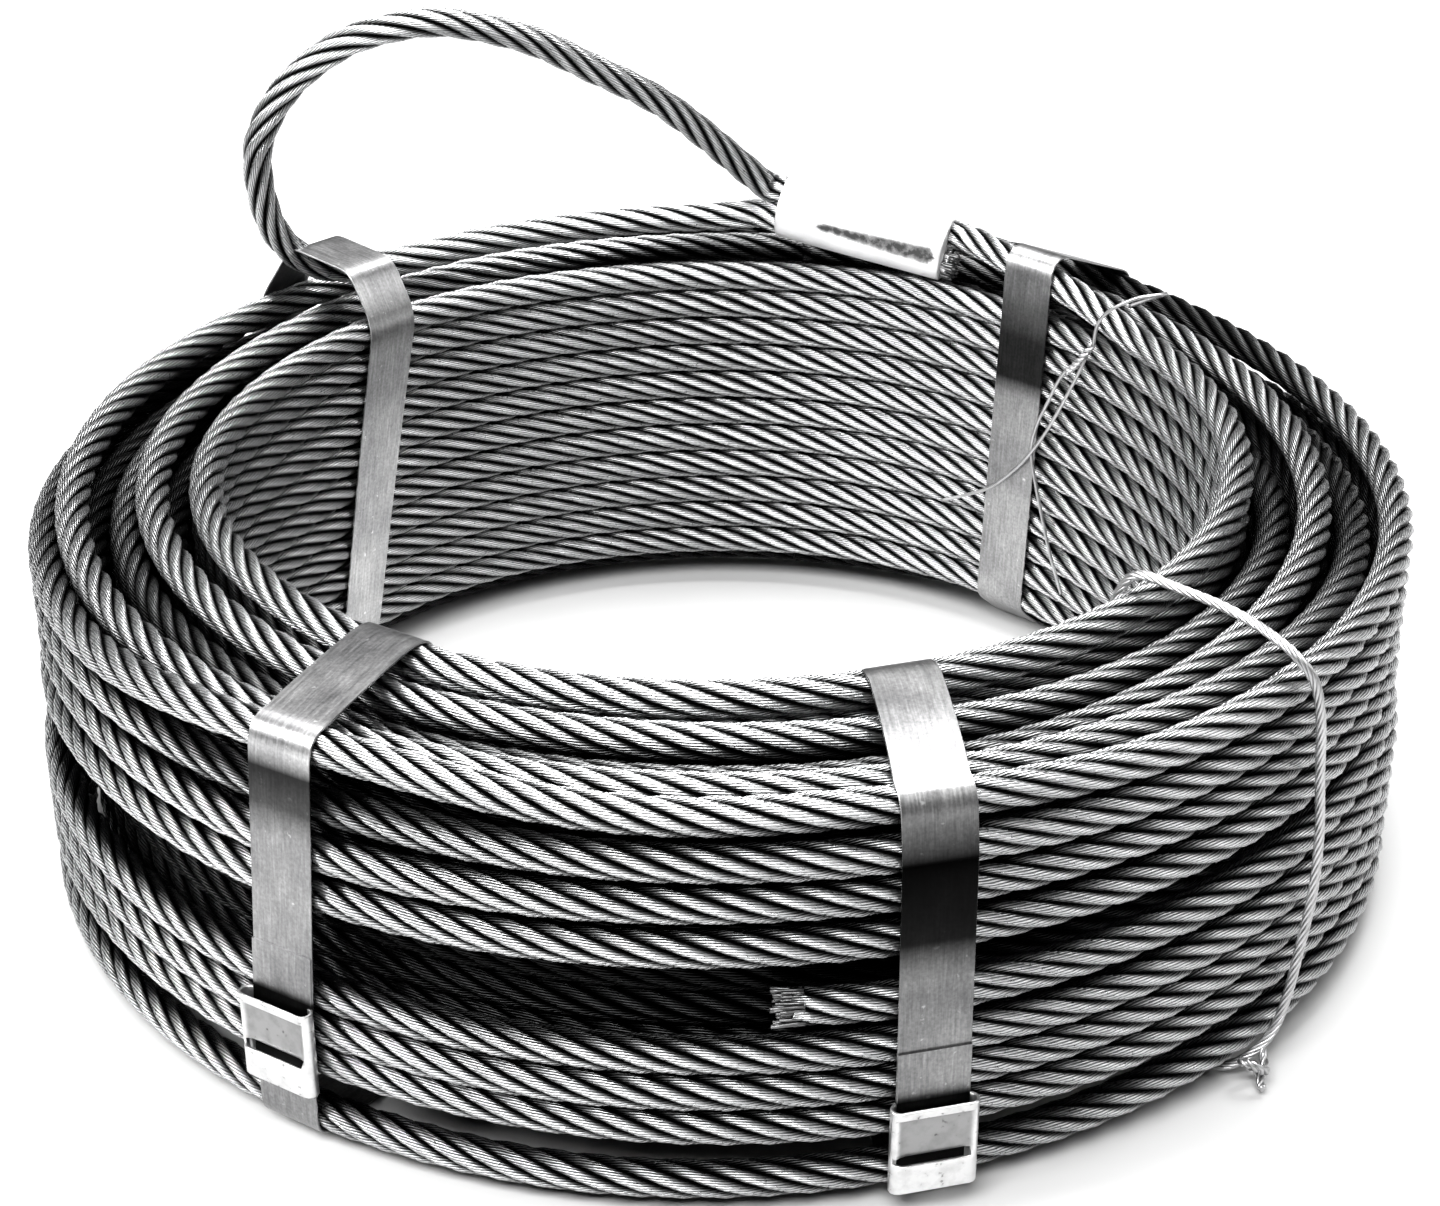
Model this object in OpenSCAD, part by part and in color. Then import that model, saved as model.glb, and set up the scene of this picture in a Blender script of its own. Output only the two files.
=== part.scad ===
// Banded coil of six-strand steel wire rope with a soft eye and a pressed ferrule.
// The coil lies flat: its axis is +Z and z = 0 is the underside of the steel bands.
// Azimuths are measured from -Y toward +X, so the front of the coil is azimuth 0.

/* [Rope] */
// Nominal rope diameter
rope_d = 10; // [8:0.5:13]
// Lay length of the strands around the rope
rope_lay = 66; // [50:1:80]

/* [Coil] */
// Radius of the innermost rope centreline
coil_inner_r = 151; // [120:1:200]
// Radial distance from one layer to the next
layer_step = 11.5; // [10.5:0.5:14]
// Height of one row of the inner layers
row_pitch = 10.2; // [10.1:0.1:12]
// Rows in a layer
row_count = 12; // [6:1:16]

/* [Ferrule] */
// Length of the pressed ferrule
ferrule_len = 59; // [40:1:80]
// Outside diameter of the pressed ferrule
ferrule_d = 22; // [20:0.5:26]

/* [Bands] */
// Width of the steel strapping
band_w = 19; // [12:1:25]
// Thickness of the steel strapping
band_t = 0.6; // [0.4:0.1:1]
// Height of a strap seal
seal_h = 25; // [18:1:35]

/* [Ties] */
// Diameter of the seven-wire strand tie
strand_tie_d = 3; // [2:0.5:4]
// Diameter of the soft wire tie
wire_tie_d = 1.6; // [1:0.2:2.4]

/* [Hidden] */
rope_r = rope_d / 2;
strand_count = 6;
clear = 0.05;
// Gap that lets a flat band lie across the curved wraps
band_gap = 0.35;
// Turns of rope meet end to end with a hair's gap in degrees
hair = 0.02;
// Degrees between the rings of a layer that is one unbroken tube, and how far its chords are pushed
// out so that they lie half inside and half outside the true curve
ring_step = 10;
chord_fit = (1 + 1 / cos(ring_step / 2)) / 2;
bottom_z = band_t + band_gap + rope_r;
rear_az = 170;
front_az = rear_az - 180;
layer_count = 5;
seal_w = band_w + 3.8;
seal_depth = 2.6;

// Band azimuths and the height of each seal's centre on the outer face
bands = [[-33.5, 33], [14.7, 21], [-131.5, 34], [138, 30]];
tie_az = 47;

function layer_r(n) = coil_inner_r + (n - 1) * layer_step;
function row_z(u) = bottom_z + u * row_pitch;
function polar(r, az, z) = [r * sin(az), -r * cos(az), z];

// A wrap station is [radius, height]. Even stations lie at the rear, odd ones at the front.
// Falling layers drop one row in the right half, and rising layers climb one row there.
top_row = row_count - 1;
falling = [for (j = [0:top_row]) each [row_count - j, row_count - 1 - j]];
rising_rows = row_count - 2;
rising = [0.2, 1.5, for (j = [1:rising_rows - 1]) each [j + 0.5, j + 1.5]];
falling_short = [top_row + 0.3, top_row - 1,
    for (j = [1:top_row - 1]) each [top_row - j, top_row - 1 - j]];
function stations(n, rows) = [for (u = rows) [layer_r(n), row_z(u)]];
layer_1 = stations(1, falling);
layer_2 = stations(2, rising);
layer_3 = stations(3, falling_short);
layer_4 = stations(4, rising);
// The outer layer is wound loosely, bulges in its lower rows and leaves a slot for the rope's tail.
loose_front = [111, 100.5, 89.5, 77, 47, 36.5, 25.5, 8.5];
loose_rear = [119, 102.5, 92, 80.5, 59.5, 47, 36.5, 25.5, 8.5];
slot_row = 4;
bulge = 2.5;
function loose_r(j) = layer_r(5) + (j < slot_row ? 0 : bulge);
layer_5 = [for (j = [0:len(loose_front) - 1]) each
    [[loose_r(j), loose_rear[j]], [loose_r(j), loose_front[j]]]];
layers = [layer_1, layer_2, layer_3, layer_4, layer_5];
layer_end = [layer_2[0], layer_3[0], layer_4[0], layer_5[0],
    [loose_r(slot_row), loose_rear[len(loose_front)]]];

// The live leg joins the top wrap at lead_az, and the tail leaves the bottom wrap at lift_az.
lead_az = 118;
lift_az = -138;
tail_end_az = 5;

// Point on a half wrap, where turn runs from 0 at its first station to 180 at its second
function on_wrap(a, b, turn) = [for (i = [0, 1]) (a[i] + b[i]) / 2 + (a[i] - b[i]) / 2 * cos(turn)];
function half_turns(n) = let (s = concat(layers[n - 1], [layer_end[n - 1]]))
    [for (i = [0:len(s) - 2]) [s[i], s[i + 1], i % 2]];
function wrap_angle(az) = (az > front_az && az <= rear_az) ? rear_az - az
    : (front_az - az + 360) % 360;
function in_right(az) = az > front_az && az <= rear_az;

// Point in space on a half wrap, at a turn from 0 to 180
function wrap_point(h, turn) =
    let (u = polar(h[2] == 0 ? 1 : -1, rear_az, 0), w = [u[1], -u[0], 0],
        p = h[0][0] * u + [0, 0, h[0][1]], q = -h[1][0] * u + [0, 0, h[1][1]])
    (p + q) / 2 + chord_fit * norm(p - q) / 2 * (cos(turn) * unit(p - q) + sin(turn) * w);

// Centreline of a whole layer, with a short first and last step so that its ends lie square
function layer_path(n, first_turn, last_turn) =
    let (h = half_turns(n), m = len(h) - 1)
    concat([wrap_point(h[0], first_turn + hair), wrap_point(h[0], first_turn + 1)],
        [for (i = [0:m])
            for (turn = [i == 0 ? first_turn + ring_step : 0:ring_step:i == m ? last_turn - 2 : 179])
                wrap_point(h[i], turn)],
        [wrap_point(h[m], last_turn - 1), wrap_point(h[m], last_turn - hair)]);

// Rope centres in the radial plane at an azimuth
function section(az) = [for (n = [1:layer_count]) for (h = half_turns(n))
    if ((h[2] == 0) == in_right(az)) on_wrap(h[0], h[1], wrap_angle(az))];

// Ferrule axis, from its eye end to its standing end, and the two rope lanes through it
ferrule_mid_az = 160.8;
ferrule_r = 151.8;
ferrule_z = 138.8;
ferrule_tilt = 9;
lane = rope_r + 0.15;
lane_lean = 12;

module at_ferrule() {
    translate(polar(ferrule_r, ferrule_mid_az, ferrule_z))
        rotate([0, 0, ferrule_mid_az - 180])
            rotate([0, ferrule_tilt + 90, 0])
                rotate([0, 0, 180 - lane_lean]) children();
}

// Same placement as at_ferrule, for a point up from the axis and along it toward the standing end
function ferrule_point(up, along) =
    let (y = up * sin(lane_lean), z = up * cos(lane_lean),
        q = [along * cos(ferrule_tilt) + z * sin(ferrule_tilt), y,
            z * cos(ferrule_tilt) - along * sin(ferrule_tilt)],
        a = ferrule_mid_az - 180)
    polar(ferrule_r, ferrule_mid_az, ferrule_z)
        + [q[0] * cos(a) - q[1] * sin(a), q[0] * sin(a) + q[1] * cos(a), q[2]];

// Smooth curve through points, with extra samples between each pair
function spline_at(a, b, c, d, t) = 0.5 * ((2 * b) + (c - a) * t + (2 * a - 5 * b + 4 * c - d) * t * t
    + (3 * b - a - 3 * c + d) * t * t * t);
function spline(p, steps) = let (m = len(p) - 1)
    [for (i = [0:m - 1]) for (k = [0:steps - 1])
        spline_at(i > 0 ? p[i - 1] : 2 * p[0] - p[1], p[i], p[i + 1],
            i + 2 <= m ? p[i + 2] : 2 * p[m] - p[m - 1], k / steps), p[m]];

// Rotation-minimising side vectors along a path
function unit(v) = v / norm(v);
function heading(p, i) = unit(p[min(i + 1, len(p) - 1)] - p[max(i - 1, 0)]);
function carry(p, i, s) = let (t = heading(p, i)) unit(s - (s * t) * t);
function sides(p) =
    let (t0 = heading(p, 0), s0 = unit(cross(t0, abs(t0[2]) < 0.9 ? [0, 0, 1] : [1, 0, 0])))
    [for (i = 0, s = s0; i < len(p); i = i + 1, s = i < len(p) ? carry(p, i, s) : s) s];
function run_length(p) = [for (i = 0, s = 0; i < len(p); i = i + 1,
    s = i < len(p) ? s + norm(p[i] - p[i - 1]) : s) s];

// Closed tube along a path, with flats and not corners toward its neighbours
module tube(p, r, n) {
    s = sides(p);
    ring = [for (i = [0:len(p) - 1]) let (t = heading(p, i), u = s[i], v = cross(t, u))
        for (k = [0:n - 1]) let (a = 360 * (k + 0.5) / n) p[i] + r * cos(a) * u + r * sin(a) * v];
    last = (len(p) - 1) * n;
    polyhedron(ring, concat(
        [[for (k = [0:n - 1]) k]],
        [for (i = [0:len(p) - 2]) for (k = [0:n - 1])
            [i * n + k, (i + 1) * n + k, (i + 1) * n + (k + 1) % n, i * n + (k + 1) % n]],
        [[for (k = [n - 1:-1:0]) last + k]]), convexity = 10);
}

// Helix laid right-handed around a path
function helix(p, lay_r, phase) = let (s = sides(p), run = run_length(p))
    [for (i = [0:len(p) - 1])
        let (t = heading(p, i), v = cross(t, s[i]), a = phase + 360 * run[i] / rope_lay)
        p[i] + lay_r * cos(a) * s[i] + lay_r * sin(a) * v];

// Eye route from the ferrule's upper lane, up and around, under a band and back to the lower lane
eye_points = [
    ferrule_point(lane, -ferrule_len / 2 - 1.4),
    ferrule_point(lane, -ferrule_len / 2 - 8),
    [-4, 147, 172], [-30, 141, 189], [-58, 136, 204],
    [-88, 131, 212], [-113, 126, 211], [-135, 121, 200],
    [-151, 116, 182], [-156, 113, 163], [-153, 111, 145],
    [-142, 111.5, 134.5], [-128, 117, 132], [-106, 131, 131.5],
    [-82, 143, 133.5], [-56, 152, 135], [-28, 157, 136.5], [0, 158.5, 137.5],
    ferrule_point(-lane, -ferrule_len / 2 - 8),
    ferrule_point(-lane, -ferrule_len / 2 - 0.8)
];
eye_path = spline(eye_points, 4);

// Live leg from the ferrule's standing end down to the top wrap
lead_turn = wrap_angle(lead_az);
function lead_wrap(az) = let (p = on_wrap(layer_1[0], layer_1[1], wrap_angle(az))) polar(p[0], az, p[1]);
lead_path = spline([
    ferrule_point(lane, ferrule_len / 2 + 1.2), ferrule_point(lane, ferrule_len / 2 + 7),
    polar(151.5, 137, 134.5), polar(151, 129, 131.5), lead_wrap(122), lead_wrap(lead_az)
], 4);

// Tail: leaves the bottom wrap, crosses outside the lower rows and lies in the slot
tail_lift = [[-138.1, 0, 8.5], [-145, 2, 8.5], [-152, 7, 10], [-160, 10.6, 16], [-170, 10.8, 27],
    [-180, 10.8, 40], [-190, 10.6, 53], [-198, 9.4, 62.5], [-206, 3.8, 69.5], [-214, -1, 70]];
tail_path = spline(concat(
    [for (q = tail_lift) polar(loose_r(slot_row) + q[1], q[0], q[2])],
    [for (az = [138:-9:tail_end_az + 2]) polar(layer_r(5) + 1, az, 59 + 10.4 * pow((az - 5) / 133, 1.2))],
    [polar(layer_r(5), tail_end_az, 59)]), 2);

// Half of one wrap, as an exact part of a torus between two stations
module wrap_arc(a, b, left) {
    r = norm(a - [-b[0], b[1]]) / 2;
    tilt = asin((a[1] - b[1]) / 2 / r);
    shift = (a[0] - b[0]) / 2;
    translate(polar(shift, rear_az, (a[1] + b[1]) / 2))
        rotate([0, 0, rear_az - 90])
            rotate([0, -tilt, 0])
                rotate([0, 0, (left ? 0 : -180) + hair / 2])
                    rotate_extrude(angle = 180 - hair, $fn = 180)
                        translate([r, 0]) circle(rope_r, $fn = 32);
}

// An inner layer, as one exact torus part for each half wrap
module inner_layer(n) {
    for (h = half_turns(n)) {
        if (h[2] == 0) wrap_arc(h[0], h[1], false);
        else wrap_arc(h[1], h[0], true);
    }
}

// The bore's wall and the outer wall are each one unbroken length of rope
module rope_layer_1() { color([0.72, 0.73, 0.74]) tube(layer_path(1, lead_turn, 180), rope_r, 8); }
module rope_layer_2() { color([0.70, 0.71, 0.72]) inner_layer(2); }
module rope_layer_3() { color([0.72, 0.73, 0.74]) inner_layer(3); }
module rope_layer_4() { color([0.70, 0.71, 0.72]) inner_layer(4); }
module rope_layer_5() {
    color([0.74, 0.75, 0.76]) tube(layer_path(5, 0, wrap_angle(lift_az)), rope_r, 8);
}
module rope_lead() { color([0.74, 0.75, 0.76]) tube(lead_path, rope_r, 12); }
module rope_tail() { color([0.74, 0.75, 0.76]) tube(tail_path, rope_r, 10); }

// Straight runs of rope inside the ferrule's two lanes
module lane_rope(up, before, after) {
    at_ferrule() translate([up, 0, before])
        cylinder(h = after - before, r = rope_r, $fn = 48);
}

module live_leg() { color([0.74, 0.75, 0.76]) lane_rope(lane, -ferrule_len / 2, ferrule_len / 2); }
module dead_end() { color([0.74, 0.75, 0.76]) lane_rope(-lane, -ferrule_len / 2, ferrule_len / 2 + 5); }

// Eye strands around their core
strand_r = rope_r / 3 - 0.1;
lay_r = rope_r * 2 / 3;

module eye_core() { color([0.70, 0.71, 0.72]) tube(eye_path, lay_r - strand_r - 0.15, 8); }
module eye_strand(i) {
    color([0.78, 0.79, 0.80]) tube(helix(eye_path, lay_r, 360 * i / strand_count), strand_r, 7);
}

// Pressed ferrule with its two rope lanes and a long shallow press mark
module ferrule() {
    mark_len = 43;
    mark_depth = 1.2;
    color([0.88, 0.88, 0.89]) at_ferrule() difference() {
        union() {
            translate([0, 0, -ferrule_len / 2 + 1]) cylinder(h = ferrule_len - 2, d = ferrule_d, $fn = 96);
            for (end = [-1, 1]) translate([0, 0, end * (ferrule_len / 2 - 0.5) - 0.5])
                cylinder(h = 1, d = ferrule_d - 1, $fn = 96);
        }
        for (up = [-lane, lane]) translate([up, 0, -ferrule_len / 2 - 1])
            cylinder(h = ferrule_len + 2, r = rope_r + clear, $fn = 48);
        rotate([0, 0, 14]) translate([-2.2, ferrule_d / 2 - mark_depth, 6 - mark_len / 2])
            cube([4.4, mark_depth + 1, mark_len]);
    }
}

// Outline of a band's section: the rope centres it holds, grown by a distance
module held_section(az, extra, grow) {
    hull() for (c = concat(section(az), extra)) translate(c) circle(grow, $fn = 40);
}

// What a band holds besides the layers: the resting plane, and the eye's foot or the live leg
function band_extra(i) = concat([[layer_r(2), bottom_z], [layer_r(3), bottom_z]],
    i == 2 ? [[160, 133], [181, 135.2]] : i == 3 ? [[151.6, 136.8]] : []);

module band(i) {
    az = bands[i][0];
    color([0.62, 0.63, 0.64]) rotate([0, 0, az - 90]) {
        rotate([90, 0, 0]) translate([0, 0, -band_w / 2]) linear_extrude(band_w) difference() {
            held_section(az, band_extra(i), rope_r + band_gap + band_t);
            held_section(az, band_extra(i), rope_r + band_gap);
        }
        outer = loose_r(slot_row) + rope_r + band_gap + band_t;
        translate([outer, -band_w / 2, bands[i][1] - seal_h / 2 - 6])
            cube([band_t, band_w, seal_h + 10]);
    }
}

// Strap seal: a folded sleeve with rolled side flanges, open at both ends, crimped at its sides
module seal(i) {
    az = bands[i][0];
    face = loose_r(slot_row) + rope_r + band_gap;
    roll_r = 1.3;
    color([0.66, 0.67, 0.68])
    rotate([0, 0, az - 90]) translate([face, 0, bands[i][1] - seal_h / 2]) difference() {
        union() {
            translate([0, -seal_w / 2 + roll_r, 0]) cube([seal_depth, seal_w - 2 * roll_r, seal_h]);
            for (side = [-1, 1]) translate([roll_r, side * (seal_w / 2 - roll_r), 0])
                cylinder(h = seal_h, r = roll_r, $fn = 32);
        }
        translate([-1, -band_w / 2 - 0.1, -1])
            cube([1 + 2 * band_t + 0.15, band_w + 0.2, seal_h + 2]);
        for (side = [-1, 1]) translate([-1, side * (seal_w / 2) - 0.8, seal_h * 0.3])
            cube([seal_depth + 2, 1.6, 1.8]);
        translate([seal_depth - 0.5, -band_w / 2 + 1, seal_h * 0.36])
            cube([1, band_w - 2, 1.2]);
    }
}

// Strand tie around the whole coil section, with a short twisted tail under the outer corner
module strand_tie() {
    tie_r = strand_tie_d / 2;
    reach = rope_r + tie_r + 0.3;
    low = reach + tie_r + 0.1;
    corners = [[layer_r(1), low], [layer_r(3), low], [loose_r(slot_row), 12.5], [loose_r(slot_row), 60],
        [layer_r(5), 116], [layer_r(3), 118.5], [layer_r(1), 122]];
    outline = [for (i = [0:len(corners) - 1]) let (
        c = corners[i], before = corners[(i + len(corners) - 1) % len(corners)],
        after = corners[(i + 1) % len(corners)],
        a0 = atan2(c[1] - before[1], c[0] - before[0]) - 90,
        a1 = atan2(after[1] - c[1], after[0] - c[0]) - 90,
        sweep = (a1 - a0 + 720) % 360)
        each [for (k = [0:4]) let (a = a0 + sweep * k / 4) c + reach * [cos(a), sin(a)]]];
    ring = [for (q = outline) polar(q[0], tie_az, q[1])];
    color([0.85, 0.86, 0.87]) {
        closed_tube(ring, tie_r, 8);
    }
}

// Closed ring of tube along a planar convex loop
module closed_tube(p, r, n) {
    m = len(p);
    mean = [for (k = [0:2]) [for (q = p) q[k]] * [for (q = p) 1] / m];
    flat = unit(cross(p[0] - mean, p[floor(m / 4)] - mean));
    ring = [for (i = [0:m - 1]) let (t = unit(p[(i + 1) % m] - p[(i + m - 1) % m]), u = cross(flat, t))
        for (k = [0:n - 1]) p[i] + r * cos(360 * k / n) * u + r * sin(360 * k / n) * flat];
    polyhedron(ring, [for (i = [0:m - 1]) for (k = [0:n - 1])
        [i * n + k, i * n + (k + 1) % n, ((i + 1) % m) * n + (k + 1) % n, ((i + 1) % m) * n + k]],
        convexity = 10);
}

// Soft wire tie over the innermost wraps, with one tail hanging down the bore
module wire_tie() {
    tie_r = wire_tie_d / 2;
    inside = coil_inner_r - rope_r - tie_r - 0.4;
    route = [polar(165, 127, 131), polar(158, 127.5, 137), polar(150, 128, 137.5), polar(inside, 128.6, 131),
        polar(inside - 1, 129.5, 124), polar(inside - 2, 131.5, 108), polar(inside - 2, 132.6, 94),
        polar(inside - 1, 132, 70), polar(inside, 130.5, 40)];
    color([0.80, 0.80, 0.81]) tube(spline(route, 3), tie_r, 8);
}

rope_layer_1();
rope_layer_2();
rope_layer_3();
rope_layer_4();
rope_layer_5();
rope_lead();
rope_tail();
live_leg();
dead_end();
eye_core();
eye_strand(0);  // eye_strand_1
eye_strand(1);  // eye_strand_2
eye_strand(2);  // eye_strand_3
eye_strand(3);  // eye_strand_4
eye_strand(4);  // eye_strand_5
eye_strand(5);  // eye_strand_6
ferrule();
band(0);  // band_1
band(1);  // band_2
band(2);  // band_3
band(3);  // band_4
seal(0);  // seal_1
seal(1);  // seal_2
seal(2);  // seal_3
seal(3);  // seal_4
strand_tie();
wire_tie();
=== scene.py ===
# A banded coil of six-strand steel wire rope with a soft eye: looks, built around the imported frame.
import math

import bmesh
import bpy
import numpy as np
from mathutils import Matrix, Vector


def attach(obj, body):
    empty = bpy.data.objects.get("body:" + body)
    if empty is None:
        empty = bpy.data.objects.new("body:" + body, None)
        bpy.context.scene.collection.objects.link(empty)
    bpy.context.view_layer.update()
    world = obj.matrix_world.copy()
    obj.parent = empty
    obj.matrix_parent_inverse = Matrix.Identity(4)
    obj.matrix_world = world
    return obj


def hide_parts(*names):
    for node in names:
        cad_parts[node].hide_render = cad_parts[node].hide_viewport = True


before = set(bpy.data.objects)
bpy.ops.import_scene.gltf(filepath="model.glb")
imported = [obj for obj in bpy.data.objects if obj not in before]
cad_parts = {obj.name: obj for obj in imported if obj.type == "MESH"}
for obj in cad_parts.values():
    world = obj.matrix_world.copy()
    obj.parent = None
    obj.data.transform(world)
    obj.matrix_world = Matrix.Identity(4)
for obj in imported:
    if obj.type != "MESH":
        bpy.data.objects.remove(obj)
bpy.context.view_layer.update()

MM = 0.001
rng = np.random.default_rng(11)

# ---------------------------------------------------------------- sizes, in millimetres as in the CAD
# Azimuths are in degrees: 0 faces the camera, 90 is to its right
ROPE_R = 5.0
STRANDS, STRAND_R = 6, 1.62
WIRES, WIRE_R = 12, 0.34
LAY = 66.0                            # length of one turn of a strand round the rope
LAY_R = ROPE_R - STRAND_R
WIRE_RATE = 1.45 * LAY_R / LAY / STRAND_R   # turns of a wire round its strand for each millimetre
CORE_R = LAY_R - STRAND_R + 0.25
STRAND_SIDES, CORE_SIDES, WIRE_SIDES = 12, 8, 6
COIL_R, LAYER_STEP = 151.0, 11.5      # radius of the first layer's centreline, and from layer to layer
ROWS, ROW_PITCH = 12, 10.2
BAND_W, BAND_T, BAND_GAP = 19.0, 0.6, 0.35
BOTTOM_Z = BAND_T + BAND_GAP + ROPE_R
REAR_AZ, FRONT_AZ = 170.0, -10.0      # where each half wrap starts and ends
LOOSE_FRONT = [111, 100.5, 89.5, 77, 47, 36.5, 25.5, 8.5]          # heights of the loose outer wraps
LOOSE_REAR = [119, 102.5, 92, 80.5, 59.5, 47, 36.5, 25.5, 8.5]
SLOT_ROW, BULGE = 4, 2.5              # first wrap under the empty slot, and how far the lower wraps bulge
LEAD_AZ, LIFT_AZ, TAIL_AZ = 118.0, -138.0, 5.0
FERRULE_LEN, FERRULE_D = 59.0, 22.0
FERRULE_AZ, FERRULE_R, FERRULE_Z = 160.8, 151.8, 138.8
FERRULE_TILT, LANE, LANE_LEAN = 9.0, 5.15, 12.0
MARK_AT, MARK_HALF, MARK_DEEP = 6.5, 21.5, 0.8                      # press mark along the ferrule
MARK_ANGLE = math.radians(104)


def rad(a):
    return math.radians(a)


def polar(r, az, z):
    return np.array([r * math.sin(rad(az)), -r * math.cos(rad(az)), z])


def unit(v):
    return v / np.linalg.norm(v, axis=-1, keepdims=True)


def run_of(p):
    """Length along a path up to each of its points."""
    return np.concatenate([[0], np.cumsum(np.linalg.norm(np.diff(p, axis=0), axis=1))])


def layer_r(n):
    return COIL_R + (n - 1) * LAYER_STEP


def row_z(u):
    return BOTTOM_Z + u * ROW_PITCH


def loose_r(j):
    return layer_r(5) + (0 if j < SLOT_ROW else BULGE)


# ---------------------------------------------------------------- the winding: stations and half wraps
def stations(n, rows):
    return [(layer_r(n), row_z(u)) for u in rows]


TOP = ROWS - 1
FALLING = [u for j in range(ROWS) for u in (ROWS - j, ROWS - 1 - j)]
RISING = [0.2, 1.5] + [u for j in range(1, ROWS - 2) for u in (j + 0.5, j + 1.5)]
FALLING_SHORT = [TOP + 0.3, TOP - 1] + [u for j in range(1, TOP) for u in (TOP - j, TOP - 1 - j)]
LOOSE = [s for j in range(len(LOOSE_FRONT))
         for s in ((loose_r(j), LOOSE_REAR[j]), (loose_r(j), LOOSE_FRONT[j]))]
LAYERS = [stations(1, FALLING), stations(2, RISING), stations(3, FALLING_SHORT), stations(4, RISING), LOOSE]
ENDS = [LAYERS[1][0], LAYERS[2][0], LAYERS[3][0], LAYERS[4][0], (loose_r(SLOT_ROW), LOOSE_REAR[8])]


def in_right(az):
    """Whether an azimuth is in the half where the wraps start at the rear."""
    return FRONT_AZ < az <= REAR_AZ


def turn_of(az):
    """Degrees turned since the start of the half wrap that passes an azimuth."""
    return REAR_AZ - az if in_right(az) else (FRONT_AZ - az) % 360


def half_wrap(a, b, from_rear, start, end, step=5.2):
    """Points of a half torus from station a to station b, between two turn angles."""
    u = polar(1, REAR_AZ, 0) * (1 if from_rear else -1)
    pa = u * a[0] + np.array([0, 0, a[1]])
    pb = -u * b[0] + np.array([0, 0, b[1]])
    c = (pa + pb) / 2
    r = np.linalg.norm(pa - pb) / 2
    e1 = unit(pa - c)
    e2 = np.array([u[1], -u[0], 0])
    n = max(2, int(round(r * rad(end - start) / step)))
    t = np.radians(np.linspace(start, end, n + 1))
    return c + r * (np.cos(t)[:, None] * e1 + np.sin(t)[:, None] * e2)


def window(az, middle, reach):
    """Smooth hump: 1 at the middle azimuth, 0 from reach degrees away."""
    d = (np.asarray(az) - middle + 180) % 360 - 180
    return np.where(np.abs(d) < reach, np.cos(np.pi / 2 * d / reach) ** 2, 0.0)


# Where the loose outer wraps wander: wrap, middle azimuth, reach in degrees, outward and upward shift
WANDER = [(0, -30, 34, 0.0, 7.0), (0, 10, 26, -1.5, 2.0), (0, 110, 50, -1.0, -2.5), (0, 160, 40, 0.0, 2.0),
          (1, -34, 30, -2.6, -0.6), (1, 20, 30, 1.0, 0.8), (2, -30, 40, 1.0, -1.6),
          (3, -25, 40, 0.8, -1.0), (3, 60, 30, 0.5, 0.6), (4, -25, 45, -1.0, -0.8), (5, -15, 40, 0.6, 0.0),
          (6, -30, 40, 0.5, 1.4), (7, 25, 40, -1.0, 0.8)]


def wandered(points, wrap):
    """Moves points of one outer wrap by the humps that name it."""
    az = np.degrees(np.arctan2(points[:, 0], -points[:, 1]))
    r = np.hypot(points[:, 0], points[:, 1])
    dr, dz = np.zeros(len(points)), np.zeros(len(points))
    for w, middle, reach, out, up in WANDER:
        if w == wrap:
            dr += out * window(az, middle, reach)
            dz += up * window(az, middle, reach)
    moved = points.copy()
    moved[:, :2] *= ((r + dr) / r)[:, None]
    moved[:, 2] += dz
    return moved


def settle(points, n):
    """Rows of one layer lie a little unevenly: a slow ripple that all its rows share."""
    az = np.arctan2(points[:, 0], -points[:, 1])
    moved = points.copy()
    moved[:, 2] += 0.5 * np.sin(2 * az + 1.7 * n) + 0.3 * np.sin(5 * az + 0.9 * n)
    moved[:, :2] *= (1 + 0.0012 * np.sin(3 * az + 2.1 * n + points[:, 2] * 0.11))[:, None]
    return moved


def layer_path(n, first=0.0, last=180.0):
    """Centreline of one layer, from one turn angle in its first half wrap to another in its last."""
    s = LAYERS[n - 1] + [ENDS[n - 1]]
    parts = []
    for i in range(len(s) - 1):
        start = first if i == 0 else 0.0
        end = last if i == len(s) - 2 else 180.0
        p = half_wrap(s[i], s[i + 1], i % 2 == 0, start, end)
        if n == 5:
            p = wandered(p, i // 2)
        parts.append(p if not parts else p[1:])
    return np.concatenate(parts)


def section(az):
    """Rope centres (radius, height) in the radial plane at an azimuth."""
    found = []
    for n in range(1, 6):
        s = LAYERS[n - 1] + [ENDS[n - 1]]
        for i in range(len(s) - 1):
            if (i % 2 == 0) != in_right(az):
                continue
            p = half_wrap(s[i], s[i + 1], i % 2 == 0, 0, 180, step=2.0)
            if n == 5:
                p = wandered(p, i // 2)
            gap = np.abs((np.degrees(np.arctan2(p[:, 0], -p[:, 1])) - az + 180) % 360 - 180)
            q = p[np.argmin(gap)]
            found.append((math.hypot(q[0], q[1]), q[2]))
    return found


def spline(points, steps):
    """Catmull-Rom curve through points, with a number of steps between each two."""
    p = np.array(points, float)
    q = np.concatenate([[2 * p[0] - p[1]], p, [2 * p[-1] - p[-2]]])
    out = []
    for i in range(len(p) - 1):
        a, b, c, d = q[i:i + 4]
        for k in range(steps):
            t = k / steps
            out.append(0.5 * (2 * b + (c - a) * t + (2 * a - 5 * b + 4 * c - d) * t * t
                              + (3 * b - a - 3 * c + d) * t ** 3))
    out.append(p[-1])
    return np.array(out)


def resample(p, step):
    """The same path with points at an even step."""
    d = run_of(p)
    n = max(2, int(round(d[-1] / step)))
    s = np.linspace(0, d[-1], n + 1)
    return np.stack([np.interp(s, d, p[:, k]) for k in range(3)], 1)


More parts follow.
